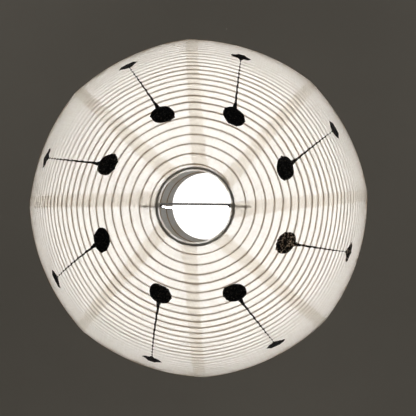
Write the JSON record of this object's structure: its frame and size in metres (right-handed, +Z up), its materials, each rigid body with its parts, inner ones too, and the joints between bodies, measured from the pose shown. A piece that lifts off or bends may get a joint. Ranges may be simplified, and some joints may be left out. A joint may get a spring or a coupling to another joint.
{
  "type": "lamp shade",
  "caption": "Round paper lantern lamp shade: glued gores over a spiral cane rib, stretched between mouth rings by a wire expander that holds the lampholder.",
  "frame": {"origin": "centre of the lampholder's hole, on the holder ring's top face; the shade hangs below it", "axes": "+Z up along the shade's axis; +X along the expander, from its left side wire to its right one"},
  "size_m": [0.4511, 0.4515, 0.4448],
  "materials": {
    "paper": "matte fibrous",
    "ink": "matte brushed ink on the paper",
    "rib_cane": "split cane with dried glue",
    "ring_wire": "drawn steel",
    "expander_wire": "bright zinc plated"
  },
  "bodies": {
    "expander": {"side_wire_left": "expander_wire", "side_wire_right": "expander_wire", "bottom_cross_wire": "expander_wire", "top_arm_left": "expander_wire", "top_arm_right": "expander_wire", "holder_ring": "expander_wire"},
    "shade": {"gore_1": "paper", "gore_2": "paper", "gore_3": "paper", "gore_4": "paper", "gore_5": "paper", "gore_6": "paper", "gore_7": "paper", "gore_8": "paper", "rib_spiral": "rib_cane", "bottom_ring": "ring_wire", "top_ring": "ring_wire"}
  },
  "joints": [
    {"name": "shade_turn", "type": "hinge", "parent": "expander", "child": "shade", "pos_m": [0, 0, -0.2], "axis": [0, 0, 1], "continuous": true}
  ]
}
